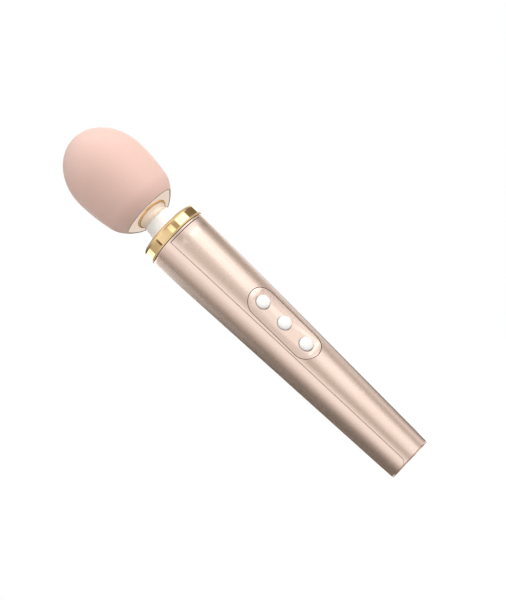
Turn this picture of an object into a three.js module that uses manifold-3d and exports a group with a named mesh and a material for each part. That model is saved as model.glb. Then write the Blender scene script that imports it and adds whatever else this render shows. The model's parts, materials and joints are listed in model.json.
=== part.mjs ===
// A cordless hand-held massage wand, standing on the flat end of its handle.
// Millimetres, +Z up along the handle, buttons facing -Y, origin at the centre of the flat end.

import * as THREE from 'three';
import { mergeVertices } from 'three/addons/utils/BufferGeometryUtils.js';
import Module from 'manifold-3d';

const wasm = await Module();
wasm.setup();

// ---- Driving dimensions -------------------------------------------------------------------

const FIT = 0.3; // clearance left between neighbouring pieces
const SEAM = 0.3; // visible gap between outer shells

// Battery, its cradle and the wires, which set the slimmest part of the handle
const BATTERY_R = 9.2;
const BATTERY_LENGTH = 65.2;
const TAB = 0.4;
const TAB_WIDTH = 6;
const LEAD_R = 0.6;
const CHASSIS_Z = 7;
const CHASSIS_FLOOR = 1.5;
const CHASSIS_WALL = 1.5;
const CHASSIS_LEDGE = 4; // floor left in front of the wand's axis
const CHASSIS_ABOVE_KEYPAD = 30;
const BATTERY_STOP = 1.2;
const SHELL_WALL = 1.8;
const SHELL_EASE = 0.5; // room between the chassis and the shell at the flat end
const HANDLE_BASE_R = BATTERY_R + FIT + CHASSIS_WALL + SHELL_EASE + SHELL_WALL;

// Handle: a straight taper that grows from the flat end to the collar
const HANDLE_LENGTH = 174.2;
const HANDLE_TOP_R = 18.6;
const PANEL_HALF_ANGLE = THREE.MathUtils.degToRad(39);
const PANEL_TOP_MARGIN = 1.5; // shell left above the front panel
const PANEL_CORNER_R = 3; // rounded lower corners of the rear shell
const CAP_RIM = 0.6; // the edge of the end cap that shows
const CAP_FLOOR = 2.4;
const CAP_SPIGOT = 4.9;
const CAP_WALL = 1.5;
const CONTACT_R = 1.6;
const CONTACT_X = 4;
const CONTACT_LENGTH = 4.5;
const CONTACT_SUNK = 0.1;
const MAGNET_BAR = 9;
const MAGNET_BAR_HEIGHT = 2;

// Polished collar and the rubber ring that seals it
const COLLAR_PROUD = 0.2;
const COLLAR_HEIGHT = 7.6;
const COLLAR_WALL = 1.6;
const COLLAR_FILLET = 1.6;
const SEAL_R = 0.9;
const CLAMP_HEIGHT = 12;
const CLAMP_RISE = 0.8; // top of the neck clamp above the handle's end

// Flexible neck: a coil spring in an elastomer sleeve, between two spigots
const SPRING_R = 5.3;
const SPRING_WIRE_R = 0.7;
const SPRING_TURNS = 5;
const SPRING_EASE = 0.8;
const SPIGOT = 4;
const SPIGOT_WALL = 1.1;
const NECK_WALL = 1.7;
const NECK_FLARE = 1.3; // how much wider the sleeve is at the collar
const NECK_HEIGHT = 7.7; // from the collar's top to the trim's mouth
const NECK_FLANGE = 2;
const NECK_FLANGE_LIP = 2.5;

// Motor
const MOTOR_R = 10.2;
const MOTOR_LENGTH = 25;
const MOTOR_Z = 5.1; // above the head's rim
const CAN_WALL = 0.8;
const CAN_TOP = 1;
const BELL = 2.8;
const SHAFT_R = 1.2;
const SHAFT_END = 1; // past the weight
const BOSS_R = 3;
const BOSS = 1.5;
const MAGNET = 1.9;
const MAGNET_LENGTH = 17;
const MAGNET_HALF_ANGLE = THREE.MathUtils.degToRad(66);
const ARMATURE_GAP = 0.5;
const ARMATURE_LENGTH = 15;
const CUSHION = 1.7;
const CRADLE_WALL = 1.5;
const BASE = 2.5;
const BRACKET = 1.5;
const BRACKET_SCREW_X = 6;
const WEIGHT_R = 10;
const WEIGHT_HALF_ANGLE = THREE.MathUtils.degToRad(80);
const WEIGHT_HUB_R = 3.2;
const WEIGHT = 9;
const WEIGHT_ABOVE_BRACKET = 4;

// Head: a side arc up to the widest ring, and a half ellipsoid above it
const CORE_WALL = 1.5;
const COVER_WALL = 2;
const COVER_LIP = 0.5;
const HEAD_EASE = 0.2; // room between the motor's cradle and the core
const HEAD_SWELL = 5.2; // how much wider the head gets above its rim
const HEAD_SIDE = 30; // rim to widest ring
const HEAD_DOME = 28.5; // widest ring to crown
const TRIM_HEIGHT = 6;
const TRIM_STEP = 1.1; // the trim's edge inside the cover's rim
const TRIM_WALL = 1.2;

// Keypad: a long oval pad let into the front panel, three domed buttons in its dish
const PAD_MARGIN = 8.4; // from an end button's centre to the pad's edge
const PAD_UNDERSIDE = 3.4; // depth of the pad's back below the handle's surface
const DISH_INSET = 1.8;
const DISH_DEPTH = 1.7;
const BUTTON_PITCH = 16.1;
const BUTTON_R = 3.95;
const BUTTON_PROUD = 0.6; // crown above the handle's surface
const BUTTON_DOME = 1.3;
const BUTTON_FLANGE = 1;
const BUTTON_FLANGE_LIP = 0.95;
const BUTTON_STEM = 0.7;
const BUTTON_STEM_R = 1.6;
const BUTTON_TRAVEL = 0.5;
const GASKET = 0.8;
const PLUNGER_R = 1.2;
const PLUNGER_LENGTH = 2.4;
const PLUNGER_PROUD = 1.2;
const SWITCH_SIZE = 6;
const SWITCH_HEIGHT = 2.9;
const BOARD_WIDTH = 15.2;
const BOARD_HALF = 21.5;
const BOARD = 1.6;
const BOARD_ABOVE_BATTERY = 2.45;
const CHIP = 1.2;
const BOARD_EDGE = 3; // board left past its screws
const SCREW_R = 1;
const SCREW_HEAD_R = 1.9;
const SCREW_HEAD = 1.3;
const SCREW_LENGTH = 6;
const POST_R = 2.2;
const CONNECTOR = 8;
const CONNECTOR_BELOW_CLAMP = 4.4;

// Cutting tools and facets
const PAST = 2; // how far a cutting tool runs past what it cuts
const FINE = 48; // outer shells
const MEDIUM = 32; // head cover and trim
const COARSE = 20; // everything inside

// ---- Sizes and levels worked out from them ------------------------------------------------

const TAPER = Math.atan((HANDLE_TOP_R - HANDLE_BASE_R) / HANDLE_LENGTH);
const outerR = (z) => HANDLE_BASE_R + (z * (HANDLE_TOP_R - HANDLE_BASE_R)) / HANDLE_LENGTH;
const innerR = (z) => outerR(z) - SHELL_WALL;
const SHELL_Z = CAP_RIM + SEAM;
const SHELL_TOP = HANDLE_LENGTH - SEAM;
const PANEL_TOP = HANDLE_LENGTH - PANEL_TOP_MARGIN;
const TROUGH_R = BATTERY_R + FIT;
const BATTERY_Z = CHASSIS_Z + CHASSIS_FLOOR + TAB + 2 * FIT;
const BATTERY_TOP = BATTERY_Z + BATTERY_LENGTH;
const BOARD_FOOT = BATTERY_TOP + BOARD_ABOVE_BATTERY;
const KEYPAD_Z = BOARD_FOOT + BOARD_HALF; // height of the middle button

const BOARD_SCREW_X = SWITCH_SIZE / 2 + FIT + SCREW_HEAD_R;
const BOARD_SCREW_Z = BOARD_HALF - BOARD_EDGE;

const COLLAR_R = HANDLE_TOP_R + COLLAR_PROUD;
const COLLAR_TOP = HANDLE_LENGTH + COLLAR_HEIGHT;
const CLAMP_TOP = HANDLE_LENGTH + CLAMP_RISE;
const CLAMP_FOOT = CLAMP_TOP - CLAMP_HEIGHT;
const CONNECTOR_Z = CLAMP_FOOT - CONNECTOR_BELOW_CLAMP - CONNECTOR;
const NECK_BORE_R = SPRING_R + SPRING_WIRE_R + SPRING_EASE;
const NECK_TOP_R = NECK_BORE_R + NECK_WALL;
const NECK_BASE_R = NECK_TOP_R + NECK_FLARE;
const NECK_FLANGE_R = COLLAR_R - COLLAR_WALL - 2 * FIT - 2 * SEAL_R;
const FLANGE_Z = CLAMP_TOP + FIT;
const SPIGOT_R = SPRING_R - SPRING_WIRE_R - FIT;
const LEAD_BORE_R = SPIGOT_R - SPIGOT_WALL;

const CRADLE_R = MOTOR_R + FIT + CUSHION + FIT;
const HEAD_RIM_R = CRADLE_R + CRADLE_WALL + FIT + CORE_WALL + FIT + COVER_WALL + HEAD_EASE;
const HEAD_R = HEAD_RIM_R + HEAD_SWELL;
const TRIM_R = HEAD_RIM_R - TRIM_STEP;
const TRIM_Z = COLLAR_TOP + NECK_HEIGHT;
const RIM_Z = TRIM_Z + TRIM_HEIGHT;

// ---- Solids -------------------------------------------------------------------------------

// A closed mesh with shared vertices, no collapsed triangles and its faces pointing out
function closed(geometry) {
  const bare = geometry.clone();
  bare.deleteAttribute('normal');
  bare.deleteAttribute('uv');
  const merged = mergeVertices(bare, 1e-4);
  const p = merged.attributes.position;
  const index = [];
  let volume = 0;
  const corner = [new THREE.Vector3(), new THREE.Vector3(), new THREE.Vector3()];
  for (let i = 0; i < merged.index.count; i += 3) {
    const [a, b, c] = [0, 1, 2].map((k) => merged.index.getX(i + k));
    if (a === b || b === c || c === a) continue;
    index.push(a, b, c);
    [a, b, c].forEach((v, k) => corner[k].fromBufferAttribute(p, v));
    volume += corner[0].dot(corner[1].cross(corner[2])) / 6;
  }
  if (volume < 0) index.reverse();
  merged.setIndex(index);
  return merged;
}

function solid(geometry, matrix = new THREE.Matrix4()) {
  const g = closed(geometry.clone().applyMatrix4(matrix));
  return new wasm.Manifold(
    new wasm.Mesh({
      numProp: 3,
      vertProperties: new Float32Array(g.attributes.position.array),
      triVerts: new Uint32Array(g.index.array),
    }),
  );
}

function geometryOf(manifold) {
  const mesh = manifold.getMesh();
  const geometry = new THREE.BufferGeometry();
  geometry.setAttribute('position', new THREE.BufferAttribute(mesh.vertProperties, 3));
  geometry.setIndex(new THREE.BufferAttribute(mesh.triVerts, 1));
  return geometry;
}

const cut = (base, ...tools) => tools.reduce((s, t) => s.subtract(t), base);
const join = (base, ...more) => more.reduce((s, t) => s.add(t), base);

// A turned piece about +Z from [radius, height] points; closes on itself when it leaves the axis
function turned(profile, segments = COARSE) {
  const points = profile.map(([r, z]) => new THREE.Vector2(r, z));
  if (points[0].x > 0) points.push(points[0].clone());
  return closed(new THREE.LatheGeometry(points, segments).rotateX(Math.PI / 2));
}

// The same about +Y, for pieces whose depth runs into the handle
const turnedInward = (profile) => turned(profile).rotateX(-Math.PI / 2);

const rod = (r, z0, z1) => turned([[0, z0], [r, z0], [r, z1], [0, z1]]);

const tube = (inner, outer, z0, z1) =>
  turned([[inner, z0], [outer, z0], [outer, z1], [inner, z1]]);

const block = (x, y, z, cx = 0, cy = 0, cz = 0) =>
  new THREE.BoxGeometry(x, y, z).translate(cx, cy, cz);

// An x-z outline extruded from y = near to y = far
const slab = (shape, near, far) =>
  new THREE.ExtrudeGeometry(shape, { depth: far - near, bevelEnabled: false, curveSegments: 8 })
    .rotateX(Math.PI / 2)
    .translate(0, far, 0);

// A six-sided wire along a curve
function wire(curve, radius, steps) {
  const section = new THREE.Shape().absarc(0, 0, radius, 0, 2 * Math.PI);
  const options = { steps, bevelEnabled: false, curveSegments: 3, extrudePath: curve };
  return closed(new THREE.ExtrudeGeometry(section, options));
}

function lead(points, steps) {
  const stops = points.map((p) => new THREE.Vector3(...p));
  return wire(new THREE.CatmullRomCurve3(stops, false, 'catmullrom', 0.15), LEAD_R, steps);
}

class Helix extends THREE.Curve {
  constructor(radius, height, turns) {
    super();
    Object.assign(this, { radius, height, turns });
  }

  getPoint(t, target = new THREE.Vector3()) {
    const a = 2 * Math.PI * this.turns * t;
    return target.set(this.radius * Math.cos(a), this.radius * Math.sin(a), this.height * t);
  }
}

// ---- Finishes -----------------------------------------------------------------------------

const finish = (color, roughness, metalness = 0) => () =>
  new THREE.MeshStandardMaterial({ color, roughness, metalness });

const roseGold = finish(0xe8cfc1, 0.35, 0.8);
const yellowGold = finish(0xdcb386, 0.12, 1);
const copperGold = finish(0xd0966e, 0.15, 1);
const pinkSilicone = finish(0xe9c3b4, 0.6);
const whiteElastomer = finish(0xf1eee8, 0.5);
const buttonWhite = finish(0xf6f6f6, 0.35);
const darkPlastic = finish(0x3a3835, 0.6);
const paleNylon = finish(0xd9d4ca, 0.6);
const blackRubber = finish(0x1c1c1e, 0.8);
const steel = finish(0xaeb2b6, 0.3, 1);
const brass = finish(0xc8a45a, 0.3, 1);
const copperWire = finish(0xb06a3c, 0.35, 1);
const boardGreen = finish(0x1f5c3a, 0.5);
const chipBlack = finish(0x151517, 0.5);
const cellBlue = finish(0x2d6fae, 0.4);
const redSleeve = finish(0xb3261e, 0.5);
const blackSleeve = finish(0x18181a, 0.5);

function piece(group, name, geometry, material, place = [0, 0, 0]) {
  const mesh = new THREE.Mesh(geometry, material());
  mesh.name = name;
  mesh.position.set(...place);
  group.add(mesh);
}

// ---- Frames -------------------------------------------------------------------------------

const wand = new THREE.Group();
const keypad = new THREE.Group(); // +Y into the handle, square to its tapered surface
keypad.position.set(0, -outerR(KEYPAD_Z), KEYPAD_Z);
keypad.rotation.x = TAPER;
keypad.updateMatrix();
const neck = new THREE.Group();
neck.position.z = FLANGE_Z;
const head = new THREE.Group(); // origin at the rim
head.position.z = RIM_Z;
wand.add(keypad, neck, head);

const handleToKeypad = keypad.matrix.clone().invert();

// ---- Keypad -------------------------------------------------------------------------------

function oval(halfWidth, halfLength) {
  const straight = halfLength - halfWidth;
  const shape = new THREE.Shape();
  shape.absarc(0, straight, halfWidth, 0, Math.PI);
  shape.absarc(0, -straight, halfWidth, Math.PI, 2 * Math.PI);
  return shape;
}

const PAD_HALF_LENGTH = BUTTON_PITCH + PAD_MARGIN;
const padPlug = (grow, near, far) =>
  slab(oval(PAD_MARGIN + grow, PAD_HALF_LENGTH + grow), near, far);
const BUTTONS = { up: BUTTON_PITCH, power: 0, down: -BUTTON_PITCH };
const FLANGE_R = BUTTON_R + BUTTON_FLANGE_LIP;
const flangeDepth = PAD_UNDERSIDE + FIT;
const stemDepth = flangeDepth + BUTTON_FLANGE;
const plungerDepth = stemDepth + BUTTON_STEM + FIT;
const switchDepth = plungerDepth + PLUNGER_PROUD;
const boardDepth = switchDepth + SWITCH_HEIGHT + FIT;
const boardBack = boardDepth + BOARD;
const boardScrews = { upper: 1, lower: -1 };


// The outside of the handle as one solid cone, in the frame that the matrix gives
function handleCone(matrix) {
  const profile = [[0, 0], [outerR(0), 0], [outerR(HANDLE_LENGTH), HANDLE_LENGTH], [0, HANDLE_LENGTH]];
  return solid(turned(profile, FINE), matrix);
}

const plugAt = (r, near, far, x, z) =>
  turnedInward([[0, near], [r, near], [r, far], [0, far]]).translate(x, 0, z);

const buttonHoles = (r) =>
  Object.values(BUTTONS).map((z) => solid(plugAt(r, -PAST, switchDepth + PAST, 0, z)));

function buildPad() {
  const plug = solid(padPlug(0, -PAST, PAD_UNDERSIDE)).intersect(handleCone(handleToKeypad));
  const dish = solid(padPlug(-DISH_INSET, -PAST, DISH_DEPTH));
  const pad = cut(plug, dish, ...buttonHoles(BUTTON_R + FIT));
  piece(keypad, 'button_pad', geometryOf(pad), roseGold);
  const sheet = solid(padPlug(-FIT, flangeDepth, flangeDepth + GASKET));
  const gasket = cut(sheet, ...buttonHoles(FLANGE_R + FIT));
  piece(keypad, 'keypad_gasket', geometryOf(gasket), blackRubber);
}

function buttonProfile() {
  const edge = BUTTON_DOME - BUTTON_PROUD;
  const dome = [];
  for (let i = 0; i <= 4; i += 1) {
    const a = (Math.PI / 2) * (i / 4);
    dome.push([BUTTON_R * Math.sin(a), edge - BUTTON_DOME * Math.cos(a)]);
  }
  return [
    ...dome,
    [BUTTON_R, flangeDepth],
    [FLANGE_R, flangeDepth],
    [FLANGE_R, stemDepth],
    [BUTTON_STEM_R, stemDepth],
    [BUTTON_STEM_R, stemDepth + BUTTON_STEM],
    [0, stemDepth + BUTTON_STEM],
  ];
}

function buildButtons() {
  const body = solid(block(SWITCH_SIZE, SWITCH_HEIGHT, SWITCH_SIZE, 0, switchDepth + SWITCH_HEIGHT / 2));
  const reach = plungerDepth + PLUNGER_LENGTH + BUTTON_TRAVEL + FIT;
  const well = solid(plugAt(PLUNGER_R + FIT, switchDepth - PAST, reach, 0, 0));
  const tactSwitch = geometryOf(cut(body, well));
  for (const [name, z] of Object.entries(BUTTONS)) {
    const plunger = plugAt(PLUNGER_R, plungerDepth, plungerDepth + PLUNGER_LENGTH, 0, 0);
    piece(keypad, `button_${name}`, turnedInward(buttonProfile()), buttonWhite, [0, 0, z]);
    piece(keypad, `plunger_${name}`, plunger, paleNylon, [0, 0, z]);
    piece(keypad, `switch_${name}`, tactSwitch.clone(), darkPlastic, [0, 0, z]);
  }
}

function buildBoard() {
  const sheet = solid(block(BOARD_WIDTH, BOARD, 2 * BOARD_HALF, 0, boardDepth + BOARD / 2));
  const holes = Object.values(boardScrews).map((side) => {
    const hole = plugAt(SCREW_R + FIT, boardDepth - PAST, boardBack + PAST, side * BOARD_SCREW_X, 0);
    return solid(hole.translate(0, 0, side * BOARD_SCREW_Z));
  });
  piece(keypad, 'circuit_board', geometryOf(cut(sheet, ...holes)), boardGreen);
  const chipDepth = boardBack + FIT;
  const chips = { controller_chip: [7, 7], charger_chip: [4, -6] };
  for (const [name, [size, z]] of Object.entries(chips)) {
    piece(keypad, name, block(size, CHIP, size), chipBlack, [0, chipDepth + CHIP / 2, z]);
  }
  const headDepth = boardDepth - FIT - SCREW_HEAD;
  const screw = [
    [0, headDepth],
    [SCREW_HEAD_R, headDepth],
    [SCREW_HEAD_R, headDepth + SCREW_HEAD],
    [SCREW_R, headDepth + SCREW_HEAD],
    [SCREW_R, headDepth + SCREW_HEAD + SCREW_LENGTH],
    [0, headDepth + SCREW_HEAD + SCREW_LENGTH],
  ];
  for (const [name, side] of Object.entries(boardScrews)) {
    const place = [side * BOARD_SCREW_X, 0, side * BOARD_SCREW_Z];
    piece(keypad, `board_screw_${name}`, turnedInward(screw), steel, place);
  }
}

// ---- Handle -------------------------------------------------------------------------------

// Front outline of the panel's opening; grow is negative for the panel that fills it
function panelOutline(grow) {
  const side = (z) => outerR(z) * Math.sin(PANEL_HALF_ANGLE);
  const cornerZ = SHELL_Z + PANEL_CORNER_R;
  const radius = PANEL_CORNER_R - grow;
  const cornerX = side(cornerZ) + PANEL_CORNER_R;
  const top = PANEL_TOP + grow;
  const shape = new THREE.Shape();
  shape.moveTo(side(top) + grow, top);
  shape.lineTo(-side(top) - grow, top);
  shape.absarc(-cornerX, cornerZ, radius, 0, -Math.PI / 2, true);
  shape.absarc(cornerX, cornerZ, radius, -Math.PI / 2, -Math.PI, true);
  shape.closePath();
  return shape;
}

function shellWall() {
  return solid(turned([
    [innerR(SHELL_Z), SHELL_Z],
    [outerR(SHELL_Z), SHELL_Z],
    [outerR(SHELL_TOP), SHELL_TOP],
    [innerR(SHELL_TOP), SHELL_TOP],
  ], FINE));
}

function buildShells() {
  const front = (grow) => solid(slab(panelOutline(grow), -COLLAR_R - PAST, 0));
  piece(wand, 'rear_shell', geometryOf(cut(shellWall(), front(0))), roseGold);
  const padOpening = solid(padPlug(FIT, -PAST, switchDepth), keypad.matrix);
  const panel = shellWall().intersect(front(-SEAM));
  piece(wand, 'front_panel', geometryOf(cut(panel, padOpening)), roseGold);
}

function buildEndCap() {
  const spigotR = innerR(0) - FIT;
  const spigotTop = CAP_RIM + CAP_SPIGOT;
  const cap = solid(turned([
    [0, 0],
    [outerR(0), 0],
    [outerR(CAP_RIM), CAP_RIM],
    [spigotR, CAP_RIM],
    [spigotR, spigotTop],
    [spigotR - CAP_WALL, spigotTop],
    [spigotR - CAP_WALL, CAP_FLOOR],
    [0, CAP_FLOOR],
  ], FINE));
  const sides = { positive: 1, negative: -1 };
  const holes = Object.values(sides).map((s) =>
    solid(rod(CONTACT_R + FIT, -PAST, CAP_FLOOR + PAST).translate(s * CONTACT_X, 0, 0)));
  piece(wand, 'end_cap', geometryOf(cut(cap, ...holes)), roseGold);
  for (const [name, s] of Object.entries(sides)) {
    const contact = rod(CONTACT_R, CONTACT_SUNK, CONTACT_LENGTH);
    piece(wand, `charge_contact_${name}`, contact, brass, [s * CONTACT_X, 0, 0]);
  }
  const width = 2 * (CONTACT_X - CONTACT_R - 2 * FIT);
  const bar = block(width, MAGNET_BAR, MAGNET_BAR_HEIGHT);
  piece(wand, 'charge_magnet', bar, steel, [0, 0, CAP_FLOOR + FIT + MAGNET_BAR_HEIGHT / 2]);
}

function buildChassis() {
  const outer = TROUGH_R + CHASSIS_WALL;
  const top = KEYPAD_Z + CHASSIS_ABOVE_KEYPAD;
  const middle = TROUGH_R + CHASSIS_WALL / 2;
  const span = 2 * outer;
  const behind = (y) => solid(block(span, span, 2 * top, 0, span / 2 + y, 0));
  const trough = solid(tube(TROUGH_R, outer, CHASSIS_Z, top)).intersect(behind(0));
  const floor = solid(rod(outer, CHASSIS_Z, CHASSIS_Z + CHASSIS_FLOOR)).intersect(behind(-CHASSIS_LEDGE));
  const stopZ = BATTERY_TOP + TAB + 2 * FIT;
  const stop = solid(rod(middle, stopZ, stopZ + BATTERY_STOP)).intersect(behind(FIT));
  const posts = Object.values(boardScrews).map((side) => {
    const place = [side * BOARD_SCREW_X, side * BOARD_SCREW_Z];
    const reach = outerR(KEYPAD_Z) + Math.sqrt(middle ** 2 - BOARD_SCREW_X ** 2);
    const bore = plugAt(SCREW_R + FIT, boardBack, boardBack + SCREW_LENGTH, ...place);
    const post = plugAt(POST_R, boardBack + FIT, reach, ...place);
    return cut(solid(post, keypad.matrix), solid(bore, keypad.matrix));
  });
  piece(wand, 'chassis', geometryOf(join(trough, floor, stop, ...posts)), darkPlastic);
}

function buildBattery() {
  const shoulder = BATTERY_LENGTH - 2;
  const cell = turned([[0, 0], [BATTERY_R, 0], [BATTERY_R, shoulder], [BATTERY_R - 1, BATTERY_LENGTH],
    [0, BATTERY_LENGTH]]);
  piece(wand, 'battery_cell', cell, cellBlue, [0, 0, BATTERY_Z]);
  const tab = block(TAB_WIDTH, BATTERY_R, TAB);
  piece(wand, 'battery_tab_negative', tab, steel, [0, 0, BATTERY_Z - FIT - TAB / 2]);
  piece(wand, 'battery_tab_positive', tab.clone(), steel, [0, 0, BATTERY_TOP + FIT + TAB / 2]);
}

function buildHandleLeads() {
  const lane = TROUGH_R + CHASSIS_WALL / 2 + LEAD_R; // radius at which the leads run up the cell
  const at = (degrees, z) => {
    const a = THREE.MathUtils.degToRad(degrees);
    return [lane * Math.cos(a), lane * Math.sin(a), z];
  };
  const boardHead = KEYPAD_Z + BOARD_HALF;
  const frontY = boardDepth - outerR(KEYPAD_Z) - LEAD_R - 4 * FIT;
  const backY = boardBack - outerR(KEYPAD_Z) + LEAD_R + 5 * FIT;
  const underCell = BATTERY_Z - FIT - LEAD_R - 0.4;
  piece(wand, 'battery_lead_black', lead([
    [TAB_WIDTH / 2 + 0.9, -5.2, underCell],
    at(-35, underCell),
    at(-35, BATTERY_Z + 2),
    at(-35, BOARD_FOOT - 4),
    [6.6, frontY, BOARD_FOOT + 3],
  ], 22), blackSleeve);
  piece(wand, 'battery_lead_red', lead([
    [0, -1.4, BATTERY_TOP + 3 * FIT + TAB],
    [0, backY, BOARD_FOOT + 1],
    [0, backY, BOARD_FOOT + 6],
  ], 5), redSleeve);
  const chargeEnds = [
    ['red', 1, -60, 4.6, 3, redSleeve],
    ['black', -1, -120, -1.8, 1.5, blackSleeve],
  ];
  for (const [name, side, angle, endX, rise, sleeve] of chargeEnds) {
    piece(wand, `charge_lead_${name}`, lead([
      [side * CONTACT_X, 0, CONTACT_LENGTH + FIT + LEAD_R],
      [side * (CONTACT_X + 0.8), -6, CHASSIS_Z - FIT - LEAD_R],
      at(angle, CHASSIS_Z + 0.5),
      at(angle, BATTERY_Z + 2),
      at(angle, BOARD_FOOT - 4),
      [endX, frontY, BOARD_FOOT + rise],
    ], 24), sleeve);
  }
  for (const [name, side, sleeve] of [['red', 1, redSleeve], ['black', -1, blackSleeve]]) {
    const x = 1.4 * side;
    piece(wand, `board_lead_${name}`, lead([
      [x, backY, boardHead - 5],
      [x, backY, boardHead + 3],
      [x, 0, boardHead + 14],
      [x, 0, CONNECTOR_Z - FIT],
    ], 9), sleeve);
  }
  piece(wand, 'lead_connector', block(7, 5, CONNECTOR), paleNylon, [0, 0, CONNECTOR_Z + CONNECTOR / 2]);
}

// ---- Collar and neck ----------------------------------------------------------------------

function buildCollar() {
  const inner = COLLAR_R - COLLAR_WALL;
  const mouth = NECK_BASE_R + 2 * FIT;
  const h = COLLAR_HEIGHT;
  const fillet = [];
  for (let i = 0; i <= 4; i += 1) {
    const a = (Math.PI / 2) * (i / 4);
    fillet.push([
      COLLAR_R - COLLAR_FILLET * (1 - Math.cos(a)),
      h - COLLAR_FILLET * (1 - Math.sin(a)),
    ]);
  }
  const ring = [[inner, 0], [COLLAR_R, 0], ...fillet, [mouth, h], [mouth, h - COLLAR_WALL],
    [inner, h - COLLAR_WALL]];
  piece(wand, 'collar_ring', turned(ring, FINE), yellowGold, [0, 0, HANDLE_LENGTH]);

  const sealR = NECK_FLANGE_R + FIT + SEAL_R;
  const seal = [];
  for (let i = 0; i < 6; i += 1) {
    const a = (Math.PI / 3) * i;
    seal.push([sealR + SEAL_R * Math.cos(a), SEAL_R * Math.sin(a)]);
  }
  piece(wand, 'collar_seal', turned(seal), blackRubber, [0, 0, FLANGE_Z + SEAL_R]);

  piece(wand, 'neck_clamp', turned([
    [LEAD_BORE_R, CLAMP_FOOT],
    [innerR(CLAMP_FOOT) - FIT, CLAMP_FOOT],
    [innerR(HANDLE_LENGTH) - FIT, CLAMP_TOP],
    [SPIGOT_R, CLAMP_TOP],
    [SPIGOT_R, CLAMP_TOP + SPIGOT],
    [LEAD_BORE_R, CLAMP_TOP + SPIGOT],
  ]), darkPlastic);
}

function buildNeck() {
  const columnTop = TRIM_Z - FLANGE_Z;
  const top = RIM_Z - FLANGE_Z - FIT;
  piece(neck, 'neck_sleeve', turned([
    [NECK_BORE_R, 0],
    [NECK_FLANGE_R, 0],
    [NECK_FLANGE_R, NECK_FLANGE],
    [NECK_BASE_R, NECK_FLANGE],
    [NECK_BASE_R, COLLAR_TOP - FLANGE_Z],
    [NECK_TOP_R + 0.2, columnTop - 1.5],
    [NECK_TOP_R, columnTop],
    [NECK_TOP_R, top - NECK_FLANGE],
    [NECK_TOP_R + NECK_FLANGE_LIP, top - NECK_FLANGE],
    [NECK_TOP_R + NECK_FLANGE_LIP, top],
    [NECK_BORE_R, top],
  ]), whiteElastomer);
  const coil = new Helix(SPRING_R, top - 2 * SPRING_WIRE_R - FIT, SPRING_TURNS);
  const spring = wire(coil, SPRING_WIRE_R, SPRING_TURNS * 10);
  piece(neck, 'neck_spring', spring, steel, [0, 0, SPRING_WIRE_R + FIT]);
  const low = CONNECTOR_Z + CONNECTOR + FIT - FLANGE_Z;
  const high = RIM_Z + MOTOR_Z - FIT - FLANGE_Z;
  for (const [name, side, sleeve] of [['red', 1, redSleeve], ['black', -1, blackSleeve]]) {
    const x = 1.2 * side;
    const points = [low, low / 2, 0, high / 2, high].map((z) => [x, 0, z]);
    piece(neck, `motor_lead_${name}`, lead(points, 8), sleeve);
  }
}

function buildTrim() {
  const mouth = NECK_TOP_R + FIT;
  const top = -FIT;
  const bowl = (inset) => {
    const points = [];
    for (let i = 0; i <= 5; i += 1) {
      const a = (Math.PI / 2) * (i / 5);
      const r = mouth + (TRIM_R - inset - mouth) * Math.sin(a);
      points.push([r, top - (TRIM_HEIGHT - FIT - inset) * Math.cos(a)]);
    }
    return points;
  };
  const ring = [...bowl(0), ...bowl(TRIM_WALL).reverse()];
  piece(head, 'head_trim', turned(ring, MEDIUM), copperGold);
}

// ---- Head ---------------------------------------------------------------------------------

// [radius, height] points of the head's outline set in by inset, from height low to the crown
function headOutline(inset, low) {
  const rise = HEAD_R - HEAD_RIM_R;
  const arcR = (HEAD_SIDE ** 2 + rise ** 2) / (2 * rise);
  const points = [];
  for (let i = 0; i <= 4; i += 1) {
    const z = low + ((HEAD_SIDE - low) * i) / 4;
    points.push([HEAD_R - arcR + Math.sqrt((arcR - inset) ** 2 - (HEAD_SIDE - z) ** 2), z]);
  }
  for (let i = 1; i <= 5; i += 1) {
    const a = (Math.PI / 2) * (i / 5);
    const r = i < 5 ? (HEAD_R - inset) * Math.cos(a) : 0;
    points.push([r, HEAD_SIDE + (HEAD_DOME - inset) * Math.sin(a)]);
  }
  return points;
}

const hollowHead = (inset, wall, low, segments) =>
  turned([...headOutline(inset + wall, low).reverse(), ...headOutline(inset, low)], segments);

const coreInset = COVER_WALL + FIT;
const coreZ = COVER_LIP;
const baseR = headOutline(coreInset + CORE_WALL + FIT, coreZ)[0][0];
const canTop = MOTOR_Z + MOTOR_LENGTH;
const bracketZ = canTop + FIT;
const weightZ = bracketZ + BRACKET + WEIGHT_ABOVE_BRACKET;

function buildHead() {
  piece(head, 'head_cover', hollowHead(0, COVER_WALL, 0, MEDIUM), pinkSilicone);
  piece(head, 'head_core', hollowHead(coreInset, CORE_WALL, coreZ, COARSE), darkPlastic);
  const floor = coreZ + BASE;
  piece(head, 'head_base', turned([
    [LEAD_BORE_R, -SPIGOT],
    [SPIGOT_R, -SPIGOT],
    [SPIGOT_R, 0.1],
    [baseR, 0.1],
    [baseR, floor],
    [CRADLE_R + CRADLE_WALL, floor],
    [CRADLE_R + CRADLE_WALL, canTop - FIT],
    [CRADLE_R, canTop - FIT],
    [CRADLE_R, floor],
    [LEAD_BORE_R, floor],
  ]), darkPlastic);
  const cushionZ = floor + FIT;
  const inner = MOTOR_R + FIT;
  const cushion = tube(inner, inner + CUSHION, cushionZ, canTop - 2 * FIT);
  piece(head, 'motor_cushion', cushion, blackRubber);
}

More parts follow.
